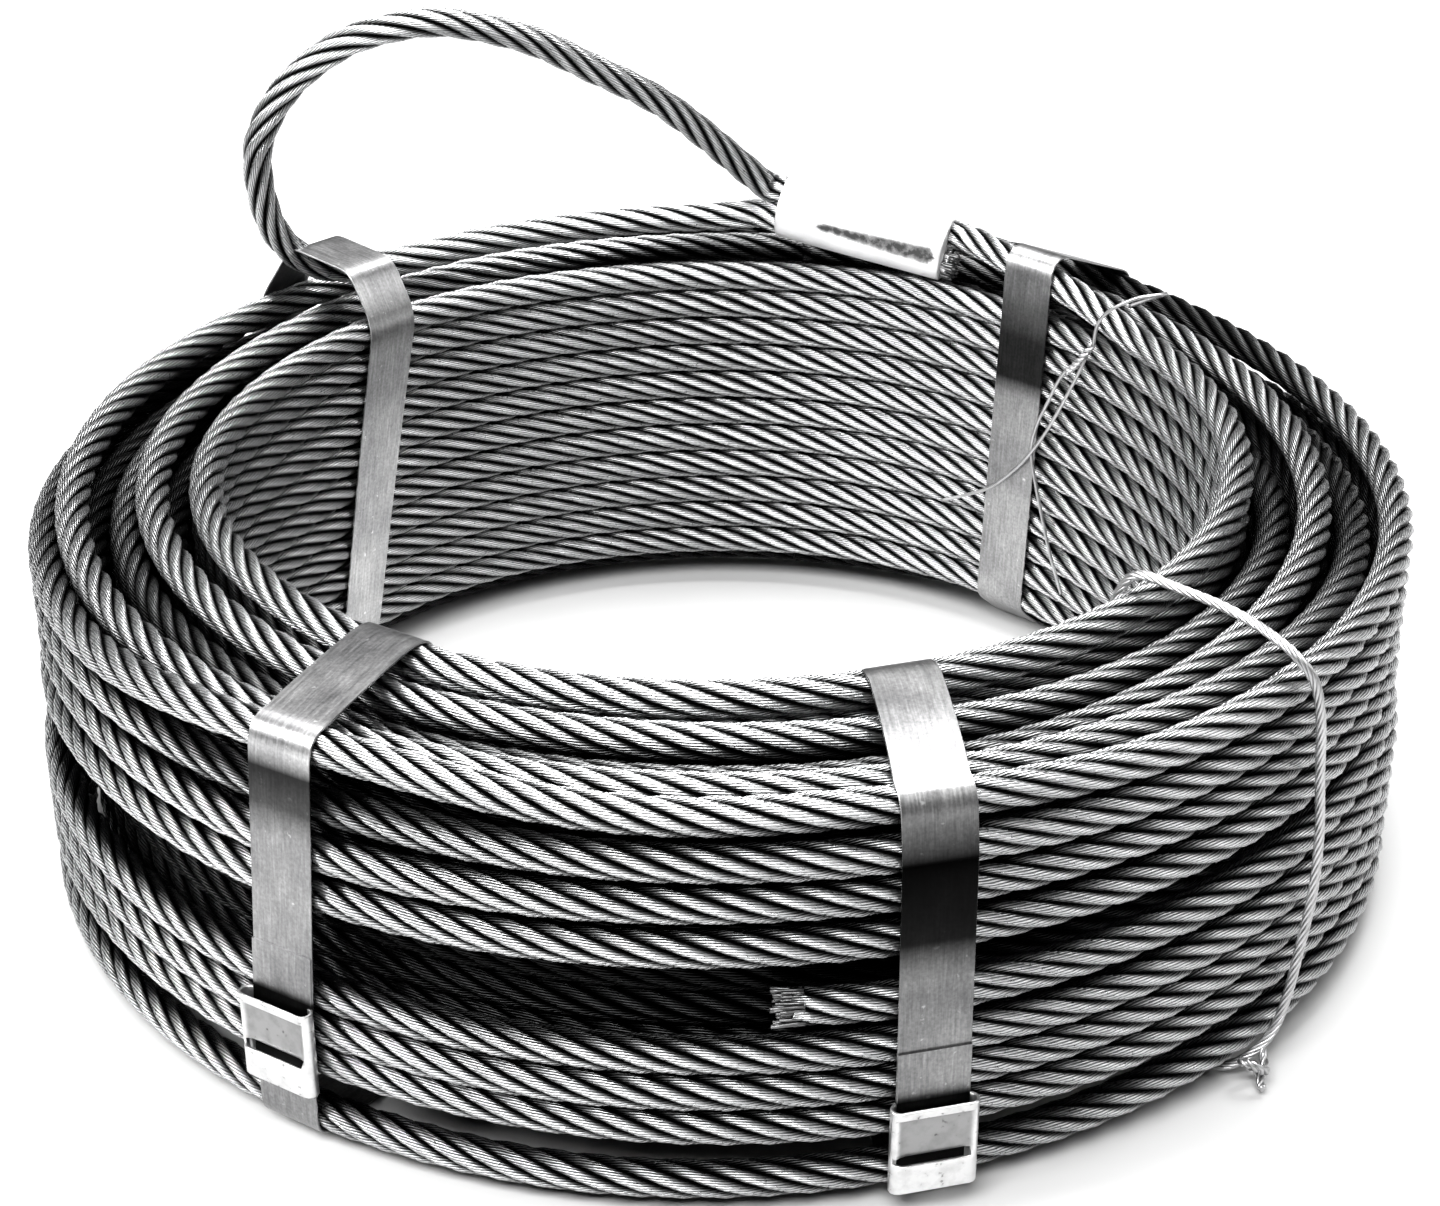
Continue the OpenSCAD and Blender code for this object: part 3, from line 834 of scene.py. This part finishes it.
def loop_normals(p):
    t = np.roll(p, -1, 0) - np.roll(p, 1, 0)
    t /= np.linalg.norm(t, axis=1, keepdims=True)
    return np.stack([t[:, 1], -t[:, 0]], 1)


def strip_section():
    """Strip section as (across, out) corners, with eased edges; counter-clockwise."""
    w, t, e = BAND_W / 2, BAND_T, STRIP_EDGE
    crown = t + 0.02
    return [(-w, e), (-w, t - e), (-w + e, t), (0, crown), (w - e, t),
            (w, t - e), (w, e), (w - e, 0), (0, 0), (-w + e, 0)]


def strap_azimuth(i, q):
    """A strap's azimuth at a point (radius, height), with its lean."""
    bore_low, bore_high, face_low, face_high = LEAN[i]
    share = min(1.0, max(0.0, (LEAN_R - q[0]) / LEAN_REACH))
    up = min(1.0, q[1] / LEAN_TOP)
    bore_side = bore_low + (bore_high - bore_low) * up
    face_side = face_low + (face_high - face_low) * up
    return BAND_AZ[i] + share * bore_side + (1 - share) * face_side


def strip_mesh(name, p, normals, index, closed):
    """Sweeps the strip's section along points (radius, height) in the plane of a strap."""
    up = np.array([0, 0, 1.0])
    corners = strip_section()
    n, m = len(p), len(corners)
    verts = []
    for q, nn in zip(p, normals):
        az = strap_azimuth(index, q)
        radial, across = polar(1, az, 0), polar(1, az + 90, 0)
        for y, out in corners:
            r, z = q + out * nn
            verts.append(radial * r + across * y + up * z)
    rows = n if closed else n - 1
    quads, uvs = [], []
    for i in range(rows):
        for k in range(m):
            i2, k2 = (i + 1) % n, (k + 1) % m
            quads.append((i * m + k, i2 * m + k, i2 * m + k2, i * m + k2))
            v0, v1 = i * STRIP_RATE, (i + 1) * STRIP_RATE
            u0, u1 = corners[k][0] / BAND_W + 0.5, corners[k2][0] / BAND_W + 0.5
            uvs += [(u0, v0), (u0, v1), (u1, v1), (u1, v0)]
    ob = new_object(name, verts, quads, uvs, STRAPS[index])
    if not closed:
        add_caps(ob, end_loops(m, n))
    flip_outward(ob)
    return ob


def flip_outward(ob):
    bm = bmesh.new()
    bm.from_mesh(ob.data)
    bmesh.ops.recalc_face_normals(bm, faces=bm.faces)
    bm.to_mesh(ob.data)
    bm.free()


def shade_by_angle(ob, degrees=35):
    bpy.context.view_layer.objects.active = ob
    for o in bpy.context.selected_objects:
        o.select_set(False)
    ob.select_set(True)
    bpy.ops.object.shade_smooth_by_angle(angle=rad(degrees))
    ob.select_set(False)


def strap(i):
    """A closed strap, and its free end, which overlaps it behind the seal and stops a little above that."""
    p = strap_loop(i)
    body = strip_mesh(f"strap_{i + 1}", p, loop_normals(p), i, True)
    r, z = p[:, 0], p[:, 1]
    low, high = SEAL_Z[i] - SEAL_H / 2 - END_BELOW, SEAL_Z[i] + SEAL_H / 2 + END_ABOVE
    run = p[(r > r.max() - 9) & (z > low) & (z < high)]
    run = run[np.argsort(run[:, 1])]
    out = np.tile([1.0, 0.0], (len(run), 1))
    end = strip_mesh(f"strap_end_{i + 1}", run + out * (BAND_T + 0.03), out, i, False)
    for ob in (body, end):
        shade_by_angle(ob)
        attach(ob, "root")
    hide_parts(f"band_{i + 1}")


def seal_outline():
    """Open sleeve seen from above, as (across, outward): left side, front and right side."""
    r = SEAL_DEEP / 2
    w = SEAL_W / 2 - r
    turns = np.linspace(0, np.pi, 7)
    left = [(-w - r * math.sin(a), r - r * math.cos(a)) for a in turns]
    front = [(y, SEAL_DEEP) for y in np.linspace(-w, w, 13)[1:-1]]
    right = [(w + r * math.sin(a), r + r * math.cos(a)) for a in turns]
    return left + front + right


def seal(i):
    """Sheet sleeve: rolled sides, a recessed upper panel, a slit and a lower panel that leans out."""
    outer = layer_r(5)
    az = strap_azimuth(i, (outer, SEAL_Z[i]))
    p = strap_loop(i)
    near = np.abs(p[:, 1] - SEAL_Z[i]) < SEAL_H / 2
    face = p[near & (p[:, 0] > outer - ROPE_R)][:, 0].max() + 0.05
    outline = seal_outline()
    w = SEAL_W / 2 - SEAL_DEEP / 2
    slit_low, slit_high, panel_high = SEAL_H * 0.36, SEAL_H * 0.43, 22.2
    levels = [0, 0.6, 2.5, 5, 7.4, slit_low, slit_high, 12, 15, 19, 22.0, 22.6, 24.2, SEAL_H]
    radial, across = polar(1, az, 0), polar(1, az + 90, 0)
    verts, panel_shade_uvs = [], []
    for z in levels:
        for y, x in outline:
            panel = max(0.0, 1 - abs(y / (w + 0.6)) ** 20) if x > SEAL_DEEP - 0.2 else 0.0
            upper = slit_high <= z <= panel_high
            recess = -PANEL_IN * panel if upper else 0.0
            lip = LIP_OUT * panel * (z / slit_low) ** 1.5 if z < slit_high else 0.0
            flare = FLARE_OUT * max(0.0, (z - SEAL_H + 2) / 2) ** 2 * (x / SEAL_DEEP)
            verts.append(radial * (face + x + recess + lip + flare) + across * y
                         + np.array([0, 0, SEAL_Z[i] - SEAL_H / 2 + z]))
            # u marks the recessed panel for its painted shade
            panel_shade_uvs.append((panel if upper else 0.0, z / SEAL_H))
    m = len(outline)
    quads, uvs = [], []
    for j in range(len(levels) - 1):
        for k in range(m - 1):
            mid = (outline[k][0] + outline[k + 1][0]) / 2
            deep = min(outline[k][1], outline[k + 1][1])
            in_front = deep > SEAL_DEEP - 0.2
            at_left = mid < 0 and deep > SEAL_DEEP * 0.7
            if levels[j] == slit_low and (in_front or at_left):
                continue
            q = (j * m + k, j * m + k + 1, (j + 1) * m + k + 1, (j + 1) * m + k)
            quads.append(q)
            uvs += [panel_shade_uvs[v] for v in q]
    ob = new_object(f"strap_seal_{i + 1}", verts, quads, uvs, SEAL)
    flip_outward(ob)
    solid = ob.modifiers.new("sheet", "SOLIDIFY")
    solid.thickness = SEAL_SHEET * MM
    solid.offset = -1
    bev = ob.modifiers.new("edge", "BEVEL")
    bev.width = 0.16 * MM
    bev.segments = 2
    bev.limit_method = "ANGLE"
    bev.angle_limit = rad(50)
    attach(ob, "root")
    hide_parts(f"seal_{i + 1}")


for i in range(4):
    strap(i)
    seal(i)

# ---------------------------------------------------------------- pressed ferrule
# Its rounded end: distance from the middle, and radius there
FERRULE_END = [(27.8, 11.0), (28.6, 10.95), (29.2, 10.8), (29.45, 10.6), (29.5, 10.3)]


def ferrule():
    """Turned-in ends, faint flats from the die and a long press mark on the side that faces the bore."""
    a_n = 96
    rings = [(-x, r) for x, r in FERRULE_END[::-1]]
    rings += [(x, FERRULE_D / 2) for x in np.linspace(-26.5, 26.5, 60)] + FERRULE_END
    base, axis = ferrule_point(0, 0), unit(ferrule_point(0, 1) - ferrule_point(0, 0))
    up = unit(ferrule_point(1, 0) - ferrule_point(0, 0))
    side = np.cross(axis, up)
    verts, uvs_at = [], []
    for x, r0 in rings:
        for k in range(a_n):
            a = 2 * np.pi * k / a_n
            d = math.degrees((a - MARK_ANGLE + np.pi) % (2 * np.pi) - np.pi)
            along = (x - MARK_AT) / MARK_HALF
            half_width = (14 + 6 * along) * min(1.0, (1 - abs(along)) * 9) if abs(along) < 1 else 0
            dip = MARK_DEEP * max(0.0, 1 - abs(d / half_width) ** 3) if half_width > 1 else 0.0
            flat = 0.10 * math.cos(2 * a) + 0.04 * math.sin(3 * a + x * 0.12)
            r = r0 + flat - dip
            verts.append(base + axis * x + up * r * math.cos(a) + side * r * math.sin(a))
            uvs_at.append((dip / MARK_DEEP, x / 10))
    n = len(rings)
    quads, uvs = [], []
    for i in range(n - 1):
        for k in range(a_n):
            k2 = (k + 1) % a_n
            q = (i * a_n + k, i * a_n + k2, (i + 1) * a_n + k2, (i + 1) * a_n + k)
            quads.append(q)
            uvs += [uvs_at[j] for j in q]
    ob = new_object("pressed_ferrule", verts, quads, uvs, ALU)
    add_caps(ob, end_loops(a_n, n))
    flip_outward(ob)
    shade_by_angle(ob, 40)
    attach(ob, "root")
    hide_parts("ferrule")


ferrule()

# ---------------------------------------------------------------- ties
# Strand tie round the coil: (radius, azimuth, height), from the bore's rim over the top, down and back
TIE_ROUTE = [(144.0, 46, 60), (143.6, 46.5, 90), (143.8, 46, 115), (147, 46.3, 126), (152, 46.5, 129.5),
             (162, 46.8, 129), (174, 47.2, 128), (184, 47, 127), (193, 46.4, 126), (200, 46.2, 123.5),
             (204.5, 46.8, 117), (205.8, 47.6, 105), (205.8, 48.4, 89), (206.4, 49.2, 68), (207.5, 48.6, 52),
             (207.6, 47.6, 37), (207.0, 46.8, 22), (206, 45.6, 12), (202.5, 43.6, 5.5), (196, 42.5, 2.4),
             (180, 43.5, 1.6), (165, 45, 1.6), (150, 46, 2.0), (145, 46, 6), (143.8, 46, 20), (144, 46, 40)]
TIE_CURL = [(205, 45.0, 9), (208, 44.3, 6), (210.5, 43.4, 6.5), (210.5, 42.4, 9.5),
            (207.5, 41.8, 11), (205.5, 42.6, 8), (208, 43.6, 4.5), (212, 42.6, 3)]


def route(points, steps, step):
    """A smooth path through points given as (radius, azimuth, height)."""
    return resample(spline([polar(*q) for q in points], steps), step)


def strand_tie():
    """Seven-wire strand in a loop round the section, and its twisted ends near the floor."""
    loop = route(TIE_ROUTE + TIE_ROUTE[:1], 10, 1.6)
    loop[-1] = loop[0]
    ob = tubes_object("strand_tie_wires", [loop] + twisted(loop, 6, 0.92, 17.0), 0.48, 7, TIE)
    curl = route(TIE_CURL, 8, 1.2)
    tag = tubes_object("strand_tie_twist", [curl] + twisted(curl, 3, 0.8, 9.0), 0.5, 7, TIE)
    for piece in (ob, tag):
        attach(piece, "root")
    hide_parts("strand_tie")


# Soft wire tie: loop over the inner top wraps, a twist, and two long tails down the bore's wall
LOOP_ROUTE = [(157.5, 122.5, 132), (161, 118, 139.5), (156, 116.5, 141.5), (150, 118, 140),
              (145.4, 120.5, 135), (144.2, 122.3, 129), (144.6, 123.2, 121), (144.8, 124.4, 116)]
TWIST = [(144.6, 123.2, 121), (143.2, 124.4, 116), (143.4, 126, 111), (143.6, 127.4, 108)]
TAIL_A = [(144.8, 124.4, 116), (144.4, 126.5, 111), (144.2, 128.6, 105), (144.0, 130.6, 94),
          (143.6, 132.2, 84), (143.8, 132.8, 74), (144.2, 131.8, 63), (144.4, 130.4, 52), (144.4, 128.6, 40),
          (144.6, 126, 27)]
TAIL_B = [(144.8, 124.4, 116), (144.2, 125.2, 110), (143.6, 127.2, 99), (143.2, 129.6, 87), (143.0, 132, 77),
          (143.0, 135, 67), (142.6, 139, 57), (142.8, 143, 51), (143.4, 147, 46)]


def wire_tie():
    """One mesh: loop, tails and a two-wire twist."""
    paths = [route(r, 8, 1.2) for r in (LOOP_ROUTE, TAIL_A, TAIL_B)]
    paths += twisted(route(TWIST, 8, 0.8), 2, 0.75, 5.0)
    ob = tubes_object("wire_tie_wires", paths, 0.62, 8, TIE)
    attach(ob, "root")
    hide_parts("wire_tie")


strand_tie()
wire_tie()

# ---------------------------------------------------------------- floor, light and camera
def floor_material():
    m, nt, bsdf = material("pale_floor")
    n = noise(nt, position(nt), 3.0, 2.0)
    nt.links.new(ramp(nt, n, [(0.3, grey(0.42)), (0.7, grey(0.44))]), bsdf.inputs["Base Color"])
    bsdf.inputs["Roughness"].default_value = 0.9
    return m


FLOOR_HALF = 9000
corners = [(-FLOOR_HALF, -FLOOR_HALF, 0), (FLOOR_HALF, -FLOOR_HALF, 0), (FLOOR_HALF, FLOOR_HALF, 0),
           (-FLOOR_HALF, FLOOR_HALF, 0)]
floor = new_object("floor", corners, [(0, 1, 2, 3)], None, floor_material(), smooth=False)


def area_light(name, place, target, width, height, watts):
    data = bpy.data.lights.new(name, "AREA")
    data.shape = "RECTANGLE"
    data.size = width
    data.size_y = height
    data.energy = watts
    ob = bpy.data.objects.new(name, data)
    ob.location = place
    ob.rotation_euler = (Vector(target) - Vector(place)).to_track_quat("-Z", "Y").to_euler()
    bpy.context.scene.collection.objects.link(ob)


area_light("top_box", (0.0, 0.45, 1.7), (0, 0.25, 0.0), 1.5, 1.2, 105)
area_light("front_box", (-0.30, -1.15, 1.55), (0, 0, 0.06), 1.1, 0.7, 62)
area_light("left_box", (-1.35, -0.35, 0.95), (0, 0, 0.06), 0.6, 0.6, 34)
area_light("right_box", (1.35, -0.2, 0.9), (0, 0, 0.06), 0.6, 0.6, 8)

world = bpy.data.worlds.new("studio")
bpy.context.scene.world = world
world.use_nodes = True
world.node_tree.nodes["Background"].inputs[0].default_value = (1, 1, 1, 1)
world.node_tree.nodes["Background"].inputs[1].default_value = 0.05

CAM_SENSOR, CAM_LENS = 36.0, 65.175
CAM_DIST, CAM_ELEV, CAM_AIM_Z = 800.0, 27.3, 67.4


def place_camera():
    """Looks at the coil from the front (-y), a little above."""
    data = bpy.data.cameras.new("camera")
    data.sensor_width = CAM_SENSOR
    data.lens = CAM_LENS
    ob = bpy.data.objects.new("camera", data)
    bpy.context.scene.collection.objects.link(ob)
    up = rad(CAM_ELEV)
    aim = Vector((0, 0, CAM_AIM_Z * MM))
    ob.location = aim + Vector((0, -math.cos(up), math.sin(up))) * CAM_DIST * MM
    ob.rotation_euler = (aim - ob.location).to_track_quat("-Z", "Y").to_euler()
    bpy.context.scene.camera = ob


place_camera()
bpy.context.scene.view_settings.view_transform = "Standard"
